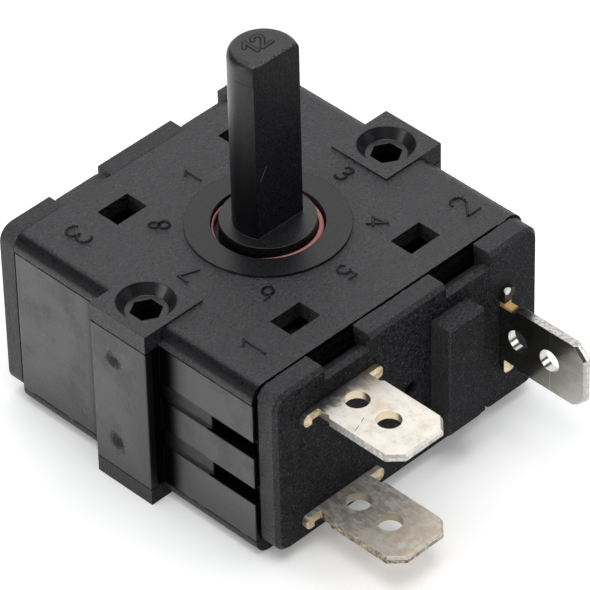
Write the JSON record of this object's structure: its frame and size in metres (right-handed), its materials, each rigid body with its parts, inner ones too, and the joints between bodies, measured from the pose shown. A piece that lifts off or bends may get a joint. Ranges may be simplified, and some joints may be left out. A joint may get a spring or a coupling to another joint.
{
  "type": "rotary switch",
  "caption": "Panel-mounted rotary cam switch: square moulded case with screw ears, a D-ended shaft that turns hidden cams, and push-on tabs that leave one side.",
  "frame": {"origin": "where the shaft's axis meets the underside of the case", "axes": "+Z along the shaft, away from the case; the tabs leave towards -Y; the screw ears stand out along X"},
  "size_m": [0.0346, 0.0414, 0.0364],
  "materials": {
    "cover_plastic": "fine matte texture",
    "case_plastic": "satin",
    "shaft_plastic": "satin",
    "cam_plastic": "smooth",
    "seal_rubber": "soft, slightly dusty",
    "tinned_brass": "bright tin plating, worn to brass at the cut edges",
    "tarnished_brass": "tin plating gone dull and brown",
    "spring_bronze": "rolled strip",
    "contact_silver": "dull silver",
    "rivet_brass": "pressed",
    "spring_steel": "rolled strip"
  },
  "bodies": {
    "case": {"top_cover": "cover_plastic", "bottom_cover": "cover_plastic", "middle_body": "case_plastic", "front_terminal_block": "cover_plastic", "rear_block": "cover_plastic", "seal_ring": "seal_rubber", "upper_terminal": "tinned_brass", "lower_terminal": "tarnished_brass", "common_terminal": "tinned_brass", "upper_contact_spring": "spring_bronze", "lower_contact_spring": "spring_bronze", "upper_fixed_contact": "contact_silver", "lower_fixed_contact": "contact_silver", "upper_moving_contact": "contact_silver", "lower_moving_contact": "contact_silver", "spring_rivets": "rivet_brass", "detent_spring": "spring_steel"},
    "rotor": {"shaft": "shaft_plastic", "upper_cam": "cam_plastic", "lower_cam": "cam_plastic", "index_wheel": "cam_plastic"}
  },
  "joints": [
    {"name": "shaft_turn", "type": "hinge", "parent": "case", "child": "rotor", "pos_m": [0, 0, 0], "axis": [0, 0, 1], "continuous": true, "deforming": ["upper_contact_spring", "lower_contact_spring", "detent_spring"]}
  ]
}
